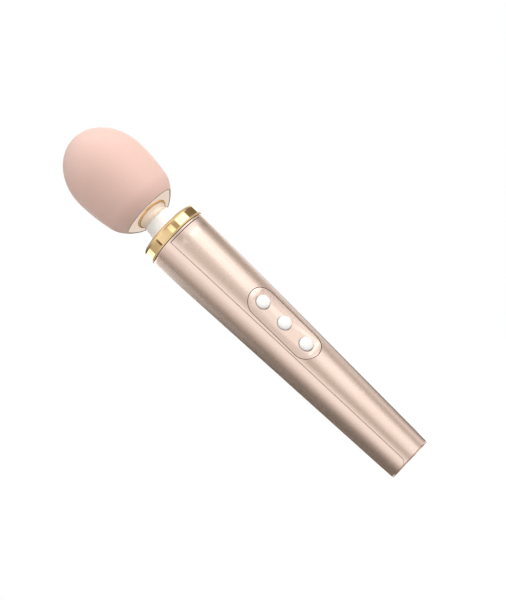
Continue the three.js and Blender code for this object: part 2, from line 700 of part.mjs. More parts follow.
function buildMotor() {
  const bore = SHAFT_R + FIT;
  const can = solid(turned([
    [MOTOR_R - CAN_WALL, MOTOR_Z],
    [MOTOR_R, MOTOR_Z],
    [MOTOR_R, canTop],
    [BOSS_R, canTop],
    [BOSS_R, canTop + BOSS],
    [bore, canTop + BOSS],
    [bore, canTop - CAN_TOP],
    [MOTOR_R - CAN_WALL, canTop - CAN_TOP],
  ]));
  const sides = { left: -1, right: 1 };
  const taps = (r, low, high) =>
    Object.values(sides).map((s) => solid(rod(r, low, high).translate(s * BRACKET_SCREW_X, 0, 0)));
  const tapped = cut(can, ...taps(SCREW_R + FIT, canTop - CAN_TOP - PAST, canTop + PAST));
  piece(head, 'motor_can', geometryOf(tapped), steel);

  const bellR = MOTOR_R - CAN_WALL - FIT;
  piece(head, 'motor_end_bell', tube(bore, bellR, MOTOR_Z, MOTOR_Z + BELL), paleNylon);

  const plate = solid(tube(BOSS_R + FIT, CRADLE_R + CRADLE_WALL, bracketZ, bracketZ + BRACKET));
  const bracket = cut(plate, ...taps(SCREW_R + FIT, bracketZ - PAST, bracketZ + BRACKET + PAST));
  piece(head, 'motor_bracket', geometryOf(bracket), steel);

  const headZ = bracketZ + BRACKET + FIT;
  const screw = [
    [0, canTop - 2.5],
    [SCREW_R, canTop - 2.5],
    [SCREW_R, headZ],
    [SCREW_HEAD_R, headZ],
    [SCREW_HEAD_R, headZ + SCREW_HEAD],
    [0, headZ + SCREW_HEAD],
  ];
  const magnetZ = MOTOR_Z + BELL + 2;
  const coreRise = (MAGNET_LENGTH - ARMATURE_LENGTH) / 2;
  for (const [name, s] of Object.entries(sides)) {
    piece(head, `bracket_screw_${name}`, turned(screw), steel, [s * BRACKET_SCREW_X, 0, 0]);
    const middle = s > 0 ? 0 : Math.PI;
    const arc = new THREE.Shape();
    arc.absarc(0, 0, bellR, middle - MAGNET_HALF_ANGLE, middle + MAGNET_HALF_ANGLE);
    arc.absarc(0, 0, bellR - MAGNET, middle + MAGNET_HALF_ANGLE, middle - MAGNET_HALF_ANGLE, true);
    const options = { depth: MAGNET_LENGTH, bevelEnabled: false, curveSegments: 6 };
    const magnet = new THREE.ExtrudeGeometry(arc, options);
    piece(head, `motor_magnet_${name}`, closed(magnet), chipBlack, [0, 0, magnetZ]);
  }

  const armature = tube(bore, bellR - MAGNET - ARMATURE_GAP, 0, ARMATURE_LENGTH);
  piece(head, 'motor_armature', armature, copperWire, [0, 0, magnetZ + coreRise]);
  piece(head, 'motor_shaft', rod(SHAFT_R, MOTOR_Z + 0.8, weightZ + WEIGHT + SHAFT_END), steel);
  const fan = new THREE.Shape();
  fan.absarc(0, 0, WEIGHT_R, Math.PI / 2 - WEIGHT_HALF_ANGLE, Math.PI / 2 + WEIGHT_HALF_ANGLE);
  fan.absarc(0, 0, WEIGHT_HUB_R, Math.PI / 2 + WEIGHT_HALF_ANGLE, (5 * Math.PI) / 2 - WEIGHT_HALF_ANGLE);
  fan.holes.push(new THREE.Path().absarc(0, 0, bore, 0, 2 * Math.PI));
  const weight = new THREE.ExtrudeGeometry(fan, { depth: WEIGHT, bevelEnabled: false, curveSegments: 8 });
  piece(head, 'eccentric_weight', closed(weight), brass, [0, 0, weightZ]);
}

buildPad();
buildButtons();
buildBoard();
buildShells();
buildEndCap();
buildChassis();
buildBattery();
buildHandleLeads();
buildCollar();
buildNeck();
buildTrim();
buildHead();
buildMotor();

export default wand;
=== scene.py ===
import json
from collections import namedtuple
from math import asin, atan, cos, hypot, pi, radians, sin, sqrt

import bmesh
import bpy
from mathutils import Matrix, Quaternion, Vector

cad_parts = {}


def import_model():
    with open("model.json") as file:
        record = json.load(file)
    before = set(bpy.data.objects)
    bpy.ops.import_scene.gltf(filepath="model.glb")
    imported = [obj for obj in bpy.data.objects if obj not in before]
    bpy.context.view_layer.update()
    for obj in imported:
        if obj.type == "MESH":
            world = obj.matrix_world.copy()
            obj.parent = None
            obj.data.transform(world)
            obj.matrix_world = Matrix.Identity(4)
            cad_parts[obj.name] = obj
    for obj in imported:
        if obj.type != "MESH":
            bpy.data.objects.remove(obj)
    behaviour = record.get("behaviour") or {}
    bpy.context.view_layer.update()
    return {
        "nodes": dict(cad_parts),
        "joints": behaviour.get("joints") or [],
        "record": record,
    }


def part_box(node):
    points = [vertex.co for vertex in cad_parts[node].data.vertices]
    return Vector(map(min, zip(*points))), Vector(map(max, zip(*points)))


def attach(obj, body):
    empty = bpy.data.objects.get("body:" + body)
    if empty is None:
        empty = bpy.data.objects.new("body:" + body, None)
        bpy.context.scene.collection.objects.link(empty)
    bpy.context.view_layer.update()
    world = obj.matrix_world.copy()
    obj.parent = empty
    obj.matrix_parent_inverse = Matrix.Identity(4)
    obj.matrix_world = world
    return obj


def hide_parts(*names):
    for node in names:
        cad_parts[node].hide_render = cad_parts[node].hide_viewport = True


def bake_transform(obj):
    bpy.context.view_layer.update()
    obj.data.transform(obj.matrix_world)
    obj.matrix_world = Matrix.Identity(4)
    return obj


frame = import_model()

# ---- Sizes, in millimetres unless a name says otherwise -----------------------------------

MM = 0.001
MERGE = 1e-7  # metres, closer than this two points are one
WELD = 0.001  # joins the edges of two sheets
SLIVER = 0.003  # narrower than this a face has no use

Span = namedtuple("Span", "radius low high")


def span(node):
    """A turned node's widest radius and its lowest and highest level."""
    low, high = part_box(node)
    return Span(high.x / MM, low.z / MM, high.z / MM)


CAP = span("end_cap")
BACK = span("rear_shell")
PANEL = span("front_panel")
COLLAR = span("collar_ring")
SLEEVE = span("neck_sleeve")
TRIM = span("head_trim")
HEAD = span("head_cover")

WALL = 1.8  # handle shells
CAP_RIM = 0.6  # edge of the end cap that shows
CAP_FLOOR = 2.4
CAP_WALL = 1.5
CAP_EDGE_IN = 0.25  # its foot's edge is cut back by this
CAP_EDGE_UP = 0.2  # up to this height
CAP_DRAFT = 0.02  # where it still stands in by this
FIT = 0.3  # gap round a piece in its hole
SEAM = 0.3  # gap above the front panel
SIDE_SEAM = 0.08  # and at its sides
SHELL_EASE = 0.16  # broken edges of the shells, the cap and the pad
CAP_EASE = 0.1
PAD_EASE = 0.12
TAPER = (BACK.radius - CAP.radius) / (BACK.high - CAP_RIM)
PANEL_ANGLE = radians(39)  # half of what the front panel spans at its top
PANEL_FOOT_ANGLE = radians(35.5)
PANEL_CORNER = 3.0  # rounded lower corners of the back shell
PANEL_TOP = PANEL.high + SEAM
CONTACT_R = 1.6
CONTACT_ROUND = 0.3
CONTACT_CHAMFER = 0.4
DRILL_START = -2.0  # well outside the face that is drilled
CAP_DRILL = 4.0
PAD_DRILL = 6.0

COLLAR_WALL = 1.6
COLLAR_LIP = 3.2  # width of its top face
COLLAR_FILLET = 2.2
COLLAR_BEAD = 0.45  # radius of the bead round its foot
BAND_STEP = 0.08  # how far the band stands back from the bead
BAND_EASE = 0.12
MOUTH_EASE = 0.3
NECK_BORE = 6.8
NECK_TOP_R = 8.5
NECK_BASE_R = 9.8
NECK_WAIST_R = 8.7
NECK_FLANGE = 2.0
NECK_EDGE = 0.3  # corners of its flanges and foot
NECK_WAIST = 1.5  # its waist is this far below the trim
NECK_STEP = 0.5  # between its rings
FLEX_IN = 0.5  # heights this far inside the collar and the trim, which flex works out but no bend uses
SKIRT = 1.3  # thickness of the neck's foot in the collar's mouth
SKIRT_GAP = 0.05  # above the underside of the collar's top
SKIRT_FALL = 0.1  # its top falls by this towards its edge
SKIRT_FILLET = 1.2
SKIRT_CLEAR = 1.5  # the plain column starts this far above it
TOP_FLANGE = 1.7  # how far it stands out inside the head
TOP_FLANGE_WALL = 1.5
TRIM_WALL = 1.2  # at its edge
TRIM_RISE = 0.96  # of the bowl's inside over its outside
LIP_IN = 0.42  # the bowl's lip stands this far inside its edge
LIP_WALL = 0.68
LIP_BACK = 0.3  # height of the lip over the rim, at its inner side
LIP_FRONT = 0.34  # and at its outer side
COVER_WALL = 2.0
HEAD_SIDE = 30.0  # rim to widest ring
NECK_MOUTH_R = 8.8  # of the trim under the head
# The head turns in under its side along one curve of (radius, height above the rim) points
UNDERSIDE = [(21.2, 8.0), (19.8, 2.5), (13.6, -3.5), (NECK_MOUTH_R, -5.2)]
COVER_EDGE = 0.47  # share of that curve where the soft cover ends
TRIM_EDGE = 0.485  # and where the trim starts
RIM_OUT = 1.1  # the rim's line is this far outside the trim
CORE_CLEAR = 2.15  # room the head's core takes inside that line
CORE_GAP = 0.15
COVER_HEM = 0.2  # the cover's edge is turned in by this

BUTTON_PITCH = 16.1
BUTTON_R = 3.95
BUTTON_CROWN = 0.6  # above the handle's surface
BUTTON_DOME = 1.3
BUTTON_BACK = 3.7  # depth of the flange that keeps a button in
BUTTON_FLANGE_R = 4.9
BUTTON_FLANGE = 1.0
BUTTON_STEM = 0.7
BUTTON_STEM_R = 1.6
BUTTON_CHAMFER = 0.15
BUTTON_FULLNESS = 0.84  # below 1 the dome is flatter in the middle and rounder at its edge
PAD_HALF_WIDTH = 8.4
PAD_BACK = 3.4
PAD_ROUND = 0.14
PAD_MERGE = 0.06
DISH_EDGE = 0.5  # rim left round the dish
DISH_RUN = 3.1  # width of the slope from the rim down to the floor
DISH_DEPTH = 1.75

JOINTS = {joint["name"]: joint for joint in frame["joints"]}
PIVOT = JOINTS["neck_nod"]["pos_m"][2] / MM
PRESS = Vector(JOINTS["press_power"]["axis"])
KEYPAD_HEIGHT = (sum(corner.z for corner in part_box("button_pad")) / MM - PAD_BACK * PRESS.z) / 2

ROUND = 192  # steps of the largest turned pieces
SMALL_ROUND = 64
OVAL_STEPS = 32  # of each end of the keypad's oval
SHARP = radians(35)


def handle_radius(z):
    """Outer radius of the handle at a height."""
    return CAP.radius + (z - CAP_RIM) * TAPER


KEYPAD = Matrix.Translation((0, -handle_radius(KEYPAD_HEIGHT) * MM, KEYPAD_HEIGHT * MM))
KEYPAD = KEYPAD @ Matrix.Rotation(atan(TAPER), 4, "X")
BUTTONS = {"up": BUTTON_PITCH, "power": 0.0, "down": -BUTTON_PITCH}


# ---- Modelling ----------------------------------------------------------------------------


def alone(piece):
    """Leaves piece selected by itself, and active."""
    bpy.ops.object.select_all(action="DESELECT")
    piece.select_set(True)
    bpy.context.view_layer.objects.active = piece


def named(name):
    """Names the object that an operator has just added."""
    piece = bpy.context.object
    piece.name = name
    piece.data.name = name
    return piece


def drawn(name, points):
    """A line through points, left in edit mode with all of it selected."""
    bpy.ops.object.select_all(action="DESELECT")
    bpy.ops.mesh.primitive_plane_add(size=MM, location=Vector(points[0]) * MM)
    piece = named(name)
    bpy.ops.object.transform_apply()
    bpy.ops.object.mode_set(mode="EDIT")
    bpy.ops.mesh.merge(type="CENTER")
    for here, there in zip(points, points[1:]):
        step = (Vector(there) - Vector(here)) * MM
        bpy.ops.mesh.extrude_region_move(TRANSFORM_OT_translate={"value": step})
    bpy.ops.mesh.select_all(action="SELECT")
    bpy.ops.mesh.remove_doubles(threshold=MERGE)
    return piece


def outwards():
    """Merges doubles and turns all faces out, then leaves edit mode."""
    bpy.ops.mesh.select_all(action="SELECT")
    bpy.ops.mesh.remove_doubles(threshold=MERGE)
    bpy.ops.mesh.normals_make_consistent(inside=False)
    bpy.ops.object.mode_set(mode="OBJECT")


def turned(name, outline, steps=ROUND):
    """A piece turned about the wand's axis from (radius, height) points.

    An outline off the axis is closed.
    """
    points = [(r, 0, z) for r, z in outline]
    if outline[0][0] > 0:
        points.append(points[0])
    piece = drawn(name, points)
    bpy.ops.mesh.spin(
        steps=steps, angle=2 * pi, center=(0, 0, 0), axis=(0, 0, 1), use_auto_merge=True
    )
    outwards()
    return piece


def slab(name, outline, near, far):
    """A flat outline of (x, z) points with depth from near to far."""
    points = [(x, near, z) for x, z in outline]
    piece = drawn(name, points + points[:1])
    bpy.ops.mesh.edge_face_add()
    push = (0, (far - near) * MM, 0)
    bpy.ops.mesh.extrude_region_move(TRANSFORM_OT_translate={"value": push})
    outwards()
    return piece


def arc(centre, radius, start, end, steps):
    """Points of a circular arc, with angles in degrees."""
    for i in range(steps + 1):
        a = radians(start + (end - start) * i / steps)
        yield centre[0] + radius * cos(a), centre[1] + radius * sin(a)


def shape(piece, kind, **settings):
    """Adds a modifier with these settings and applies it."""
    alone(piece)
    modifier = piece.modifiers.new(kind, kind)
    for setting, value in settings.items():
        setattr(modifier, setting, value)
    bpy.ops.object.modifier_apply(modifier=modifier.name)


def cleaned(piece, gap=SLIVER):
    """Merges points closer than gap and drops faces and edges without a size."""
    alone(piece)
    bpy.ops.object.mode_set(mode="EDIT")
    bpy.ops.mesh.select_all(action="SELECT")
    bpy.ops.mesh.remove_doubles(threshold=gap * MM)
    bpy.ops.mesh.dissolve_degenerate(threshold=gap * MM)
    bpy.ops.object.mode_set(mode="OBJECT")


def carve(piece, tool):
    """Cuts piece with tool, which is then thrown away."""
    shape(piece, "BOOLEAN", operation="DIFFERENCE", object=tool, solver="EXACT")
    bpy.data.objects.remove(tool)
    cleaned(piece)


def drill(piece, radius, depth, place):
    """Cuts a round hole down to a depth, along the Z axis of a place."""
    outline = [(0, DRILL_START), (radius, DRILL_START), (radius, depth), (0, depth)]
    carve(piece, seated(turned("hole", outline, SMALL_ROUND), place))


def ease(piece, width, angle=50):
    """Breaks the sharp edges of a piece with a small bevel."""
    shape(
        piece,
        "BEVEL",
        width=width * MM,
        segments=2,
        limit_method="ANGLE",
        angle_limit=radians(angle),
        use_clamp_overlap=False,
        miter_outer="MITER_ARC",
    )
    cleaned(piece)


def seated(piece, place):
    """Moves a piece made at the origin to its place, and keeps that place in its mesh."""
    alone(piece)
    piece.matrix_world = place
    bpy.ops.object.transform_apply(location=True, rotation=True, scale=True)
    return piece


def shown(piece, body, finish, *stands_for):
    """Shades a piece smooth, gives it its material and, if one is given, its body, and hides the
    nodes it stands for.
    """
    alone(piece)
    bpy.ops.object.shade_smooth_by_angle(angle=SHARP)
    piece.data.materials.clear()
    piece.data.materials.append(FINISHES[finish])
    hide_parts(*stands_for)
    if body:
        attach(piece, body)
    return piece


# ---- Shader maths -------------------------------------------------------------------------


class Flow:
    """An output socket of a node tree. Arithmetic on it adds Math nodes."""

    def __init__(self, tree, socket):
        self.tree = tree
        self.socket = socket

    def math(self, operation, *values):
        return self.tree.node("ShaderNodeMath", {"operation": operation}, dict(enumerate(values)))

    def __add__(self, other):
        return self.math("ADD", self, other)

    def __sub__(self, other):
        return self.math("SUBTRACT", self, other)

    def __rsub__(self, other):
        return self.math("SUBTRACT", other, self)

    def __mul__(self, other):
        return self.math("MULTIPLY", self, other)

    def __truediv__(self, other):
        return self.math("DIVIDE", self, other)

    def __rtruediv__(self, other):
        return self.math("DIVIDE", other, self)

    __radd__ = __add__
    __rmul__ = __mul__


class Tree:
    """A node tree and the one way nodes are added to it."""

    def __init__(self, owner):
        owner.use_nodes = True
        self.nodes = owner.node_tree.nodes
        self.links = owner.node_tree.links

    def feed(self, socket, value):
        if isinstance(value, Flow):
            self.links.new(value.socket, socket)
        else:
            socket.default_value = value

    def node(self, kind, settings=None, sockets=None, output=0):
        made = self.nodes.new(kind)
        for setting, value in (settings or {}).items():
            if setting == "stops":
                self.set_stops(made.color_ramp, value)
            else:
                setattr(made, setting, value)
        for socket, value in (sockets or {}).items():
            self.feed(made.inputs[socket], value)
        return Flow(self, made.outputs[output])

    @staticmethod
    def set_stops(ramp, stops):
        """Gives a colour ramp its (position, colour) stops."""
        while len(ramp.elements) < len(stops):
            ramp.elements.new(1.0)
        for element, (position, colour) in zip(ramp.elements, stops):
            element.position = position
            element.color = (*colour, 1.0)

    def mix(self, factor, first, second):
        """A colour between two colours."""
        pair = [c if isinstance(c, Flow) else (*c, 1.0) for c in (first, second)]
        sockets = {0: factor, 6: pair[0], 7: pair[1]}
        return self.node("ShaderNodeMix", {"data_type": "RGBA"}, sockets, output=2)

    def between(self, value, band, first=0.0, last=1.0):
        """Runs from first to last while value crosses a band."""
        low, high = band
        return self.node("ShaderNodeMapRange", {}, {0: value, 1: low, 2: high, 3: first, 4: last})


class Finish(Tree):
    """A material on one Principled shader, with its patterns on the piece's own coordinates."""

    def __init__(self, name, **constants):
        self.material = bpy.data.materials.new(name)
        super().__init__(self.material)
        self.surface = self.nodes["Principled BSDF"].inputs
        self.place = self.node("ShaderNodeTexCoord", output="Object")
        for socket, value in constants.items():
            self.set(socket.replace("_", " "), value)

    def set(self, socket, value):
        """Sets or links one socket of the shader."""
        if isinstance(value, tuple):
            value = (*value, 1.0)
        self.feed(self.surface[socket], value)

    def stretched(self, x, y, z):
        """The piece's coordinates, stretched along its axes."""
        return self.node("ShaderNodeMapping", {}, {"Vector": self.place, "Scale": (x, y, z)})

    def noise(self, size, detail=2.0, place=None):
        """Noise with features of this many millimetres."""
        sockets = {"Vector": place or self.place, "Scale": 1 / (size * MM), "Detail": detail}
        return self.node("ShaderNodeTexNoise", {}, sockets)

    def grains(self, size, output="Distance"):
        """Cells of this many millimetres."""
        sockets = {"Vector": self.place, "Scale": 1 / (size * MM)}
        return self.node("ShaderNodeTexVoronoi", {}, sockets, output=output)

    def turns(self, size, wander):
        """Level turns of wire this many millimetres apart, a little uneven."""
        per_metre = 0.314  # a wave texture of this scale has one line a metre
        sockets = {"Vector": self.place, "Scale": per_metre / (size * MM), "Distortion": wander}
        return self.node("ShaderNodeTexWave", {"bands_direction": "Z"}, sockets, output="Fac")

    def bump(self, height, depth, strength=1.0):
        """Raises the surface by height times this many millimetres."""
        sockets = {"Height": height, "Distance": depth * MM, "Strength": strength}
        self.set("Normal", self.node("ShaderNodeBump", {}, sockets))


# ---- Finishes, one for each material slot -------------------------------------------------


def rose_gold_shell():
    """Satin rose-gold lacquer over metal, with a very fine flake."""
    finish = Finish("rose_gold_shell", Metallic=0.92, Coat_Weight=0.35, Coat_Roughness=0.12)
    cloud = finish.noise(26, 3)
    flake = finish.grains(0.16, output="Color")
    flake = finish.node("ShaderNodeSeparateColor", {}, {"Color": flake}, output="Red")
    handling = finish.noise(18, 2)
    base = finish.mix(cloud, (0.83, 0.64, 0.545), (0.88, 0.70, 0.605))
    finish.set("Base Color", finish.mix(flake * 0.16, base, (0.98, 0.84, 0.76)))
    finish.set("Roughness", 0.24 + handling * 0.03 + flake * 0.03)
    finish.bump(flake * 0.5 + finish.noise(0.6, 2), 0.002, 0.25)
    return finish.material


def yellow_gold():
    """Polished pale gold plate."""
    finish = Finish("yellow_gold", Metallic=1.0)
    cloud = finish.noise(9, 3)
    finish.set("Base Color", finish.mix(cloud, (0.80, 0.56, 0.27), (0.90, 0.68, 0.38)))
    polish = finish.noise(0.35, 4, finish.stretched(1, 1, 8))
    finish.set("Roughness", 0.055 + polish * 0.05)
    finish.bump(finish.noise(2.2, 2), 0.006, 0.25)
    return finish.material


def copper_gold():
    """Polished rose-gold plate, redder than the collar's."""
    finish = Finish("copper_gold", Metallic=1.0)
    cloud = finish.noise(8, 3)
    finish.set("Base Color", finish.mix(cloud, (0.92, 0.74, 0.60), (0.97, 0.83, 0.72)))
    polish = finish.noise(0.3, 4, finish.stretched(1, 1, 6))
    finish.set("Roughness", 0.06 + polish * 0.06)
    finish.bump(finish.noise(2.4, 2), 0.005, 0.25)
    return finish.material


def pink_silicone():
    """Soft matte silicone with the fine bloom of a moulded skin."""
    finish = Finish(
        "pink_silicone",
        Subsurface_Weight=0.12,
        Subsurface_Scale=0.004,
        Specular_IOR_Level=0.5,
        Sheen_Weight=0.12,
        Sheen_Roughness=0.5,
    )
    cloud = finish.noise(14, 4)
    bloom = finish.noise(0.8, 4)
    base = finish.mix(cloud, (0.78, 0.515, 0.44), (0.82, 0.56, 0.485))
    finish.set("Base Color", finish.mix(bloom * 0.18, base, (0.88, 0.66, 0.60)))
    finish.set("Roughness", 0.44 + bloom * 0.12)
    finish.bump(finish.noise(0.22, 3) + bloom, 0.012, 0.35)
    return finish.material


def white_elastomer():
    """Warm white rubber of the neck."""
    finish = Finish("white_elastomer", Subsurface_Weight=0.15, Subsurface_Scale=0.003)
    bloom = finish.noise(1.4, 4)
    finish.set("Base Color", finish.mix(bloom, (0.95, 0.92, 0.88), (0.98, 0.955, 0.93)))
    finish.set("Roughness", 0.42 + bloom * 0.14)
    finish.bump(finish.noise(0.3, 3), 0.01, 0.35)
    return finish.material


def white_button():
    """Glossy white caps."""
    finish = Finish("white_button", Subsurface_Weight=0.08, Subsurface_Scale=0.002, Coat_Weight=0.4)
    bloom = finish.noise(1.1, 3)
    finish.set("Base Color", finish.mix(bloom, (0.89, 0.88, 0.865), (0.93, 0.925, 0.915)))
    finish.set("Roughness", 0.2 + bloom * 0.08)
    finish.bump(finish.noise(0.5, 2), 0.004, 0.25)
    return finish.material


def moulded(name, dark, light, roughness=0.45, grain=0.25, depth=0.02):
    """Moulded plastic or rubber: two near shades and a fine spark grain."""
    finish = Finish(name)
    cloud = finish.noise(3, 4)
    pits = finish.grains(grain)
    finish.set("Base Color", finish.mix(cloud, dark, light))
    finish.set("Roughness", roughness + pits * 0.2)
    finish.bump(pits, depth, 0.5)
    return finish.material


def metal(name, dark, light, roughness=0.28, brush=(1, 1, 12)):
    """Bare metal with the fine lines that drawing or turning leaves."""
    finish = Finish(name, Metallic=1.0)
    lines = finish.noise(0.5, 5, finish.stretched(*brush))
    stain = finish.noise(4, 3)
    finish.set("Base Color", finish.mix(stain * 0.6 + lines * 0.4, dark, light))
    finish.set("Roughness", roughness + lines * 0.16)
    finish.bump(lines, 0.006, 0.4)
    return finish.material


def copper_winding():
    """Enamelled wire laid in turns, with painted shade in the grooves between them."""
    finish = Finish("copper_winding", Metallic=0.85, Coat_Weight=0.6)
    turns = finish.turns(0.5, wander=0.4)
    # The darker colour between the turns is painted shade in the grooves, not a colour of the wire.
    finish.set("Base Color", finish.mix(turns, (0.30, 0.10, 0.035), (0.80, 0.36, 0.16)))
    finish.set("Roughness", 0.26 + (1 - turns) * 0.3)
    finish.bump(turns, 0.12, 0.7)
    return finish.material


def board_green():
    """Solder mask over etched tracks."""
    finish = Finish("board_green", Coat_Weight=0.5, Coat_Roughness=0.15)
    tracks = finish.node(
        "ShaderNodeTexBrick",
        {"offset": 0.5},
        {"Vector": finish.place, "Scale": 260.0, "Mortar Size": 0.03},
        output="Fac",
    )
    mask = finish.mix(finish.noise(2), (0.008, 0.10, 0.035), (0.014, 0.15, 0.05))
    finish.set("Base Color", finish.mix(tracks, mask, (0.03, 0.25, 0.09)))
    finish.set("Roughness", 0.34 + tracks * 0.1)
    finish.bump(tracks, 0.03, 0.6)
    return finish.material


FINISHES = {
    "rose_gold_shell": rose_gold_shell(),
    "yellow_gold": yellow_gold(),
    "copper_gold": copper_gold(),
    "pink_silicone": pink_silicone(),
    "white_elastomer": white_elastomer(),
    "white_button": white_button(),
    "dark_plastic": moulded("dark_plastic", (0.02, 0.02, 0.022), (0.035, 0.034, 0.036)),
    "pale_nylon": moulded("pale_nylon", (0.72, 0.68, 0.58), (0.82, 0.78, 0.69), 0.4),
    "black_rubber": moulded("black_rubber", (0.012, 0.012, 0.012), (0.03, 0.03, 0.031), 0.62),
    "chip_black": moulded("chip_black", (0.010, 0.010, 0.011), (0.022, 0.022, 0.024), 0.5, 0.12),
    "cell_wrap": moulded("cell_wrap", (0.04, 0.17, 0.42), (0.06, 0.22, 0.52), 0.22, 1.2, 0.01),
    "red_sleeve": moulded("red_sleeve", (0.42, 0.012, 0.010), (0.55, 0.025, 0.02), 0.35, 0.4),
    "black_sleeve": moulded("black_sleeve", (0.01, 0.01, 0.01), (0.025, 0.025, 0.026), 0.35, 0.4),
    "steel": metal("steel", (0.42, 0.42, 0.43), (0.62, 0.62, 0.63)),
    "contact_brass": metal("contact_brass", (0.72, 0.5, 0.2), (0.88, 0.66, 0.32), 0.16, (1, 1, 1)),
    "magnet": metal("magnet", (0.22, 0.22, 0.23), (0.38, 0.38, 0.40), 0.36, (1, 1, 1)),
    "copper_winding": copper_winding(),
    "board_green": board_green(),
}


# ---- Handle -------------------------------------------------------------------------------


def opening(z, gap=0.0):
    """Half of what the front opening spans at a height, as an angle.

    It flares at its rounded lower corners.
    """
    corner = BACK.low + PANEL_CORNER
    if z >= corner:
        rise = (z - corner) / (PANEL_TOP - corner)
        side = PANEL_FOOT_ANGLE + (PANEL_ANGLE - PANEL_FOOT_ANGLE) * rise
        return asin(sin(side) - gap / handle_radius(z))
    middle = handle_radius(corner) * sin(PANEL_FOOT_ANGLE) + PANEL_CORNER
    half = middle - sqrt((PANEL_CORNER + gap) ** 2 - (corner - z) ** 2)
    return asin(half / handle_radius(z))


def wrapped(name, rows, edges, columns):
    """A sheet wrapped round the handle.

    Rows are heights, and edges(z) gives the angles where a row starts and ends.
    """
    bpy.ops.object.select_all(action="DESELECT")
    last = len(rows) - 1
    bpy.ops.mesh.primitive_grid_add(x_subdivisions=columns, y_subdivisions=last, size=2)
    sheet = named(name)
    for vertex in sheet.data.vertices:
        z = rows[round((vertex.co.y + 1) / 2 * last)]
        start, end = edges(z)
        a = start + (end - start) * (vertex.co.x + 1) / 2
        r = handle_radius(z)
        vertex.co = Vector((r * sin(a), -r * cos(a), z)) * MM
    return sheet


def shell_rows(top):
    """Heights of a shell's rows: close round its lower corners, then even up to the top."""
    corner = BACK.low + PANEL_CORNER
    close, even = 10, 24
    rows = [corner - PANEL_CORNER * cos(pi / 2 * i / close) for i in range(close + 1)]
    return rows + [corner + (top - corner) * i / even for i in range(1, even + 1)]


def thicken(piece):
    shape(piece, "SOLIDIFY", thickness=WALL * MM, offset=-1, use_even_offset=True)


def back_shell():
    """Wraps round the back, with a narrow band across the front above the panel."""
    sheet = wrapped(
        "handle_back_shell",
        shell_rows(PANEL_TOP) + [BACK.high],
        lambda z: (opening(min(z, PANEL_TOP)), 2 * pi - opening(min(z, PANEL_TOP))),
        columns=188,
    )
    band = wrapped(
        "band",
        [PANEL_TOP, BACK.high],
        lambda z: (-opening(PANEL_TOP), opening(PANEL_TOP)),
        columns=52,
    )
    alone(sheet)
    band.select_set(True)
    bpy.ops.object.join()
    bpy.ops.object.mode_set(mode="EDIT")
    bpy.ops.mesh.select_all(action="SELECT")
    bpy.ops.mesh.remove_doubles(threshold=WELD * MM)
    bpy.ops.object.mode_set(mode="OBJECT")
    thicken(sheet)
    ease(sheet, SHELL_EASE)
    shown(sheet, "handle", "rose_gold_shell", "rear_shell")


def oval(half_width):
    """Outline of the keypad's long oval, as (x, z) points."""
    return [
        *arc((0, BUTTON_PITCH), half_width, 0, 180, OVAL_STEPS),
        *arc((0, -BUTTON_PITCH), half_width, 180, 360, OVAL_STEPS),
    ]


def front_panel():
    panel = wrapped(
        "handle_front_panel",
        shell_rows(PANEL.high),
        lambda z: (-opening(z, SIDE_SEAM), opening(z, SIDE_SEAM)),
        columns=78,
    )
    thicken(panel)
    ease(panel, SHELL_EASE)
    hole = slab("hole", oval(PAD_HALF_WIDTH + FIT), near=-3, far=8)
    carve(panel, seated(hole, KEYPAD))
    shown(panel, "handle", "rose_gold_shell", "front_panel")


def end_cap():
    spigot = CAP.radius - WALL - FIT
    cap = turned(
        "handle_end_cap",
        [
            (0, 0),
            (CAP.radius - CAP_EDGE_IN, 0),
            (CAP.radius - CAP_DRAFT, CAP_EDGE_UP),
            (CAP.radius, CAP_RIM),
            (spigot, CAP_RIM),
            (spigot, CAP.high),
            (spigot - CAP_WALL, CAP.high),
            (spigot - CAP_WALL, CAP_FLOOR),
            (0, CAP_FLOOR),
        ],
    )
    ease(cap, CAP_EASE, angle=60)
    for side in ("positive", "negative"):
        low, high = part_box(f"charge_contact_{side}")
        middle = Matrix.Translation(((low.x + high.x) / 2, 0, 0))
        drill(cap, CONTACT_R + FIT, CAP_DRILL, middle)
        foot, top = low.z / MM, high.z / MM
        pin = turned(
            f"charge_pin_{side}",
            [
                (0, foot),
                *arc((CONTACT_R - CONTACT_ROUND, foot + CONTACT_ROUND), CONTACT_ROUND, -90, 0, 5),
                (CONTACT_R, top - CONTACT_CHAMFER),
                (CONTACT_R - CONTACT_CHAMFER, top),
                (0, top),
            ],
            SMALL_ROUND,
        )
        shown(seated(pin, middle), "handle", "contact_brass", f"charge_contact_{side}")
    shown(cap, "handle", "rose_gold_shell", "end_cap")


# ---- Keypad -------------------------------------------------------------------------------


def pad_depth(x, z):
    """Depth of the pad's face: along the handle at its rim, and down to a flat floor inside."""
    r = handle_radius(KEYPAD_HEIGHT + z)
    follow = r - sqrt(r * r - x * x)
    reach = PAD_HALF_WIDTH - hypot(x, max(abs(z) - BUTTON_PITCH, 0))
    t = min(max((reach - DISH_EDGE) / DISH_RUN, 0), 1)
    t = t * t * (3 - 2 * t)
    rounding = PAD_ROUND if reach < PAD_ROUND / 2 else 0
    return follow * (1 - t) + DISH_DEPTH * t + rounding


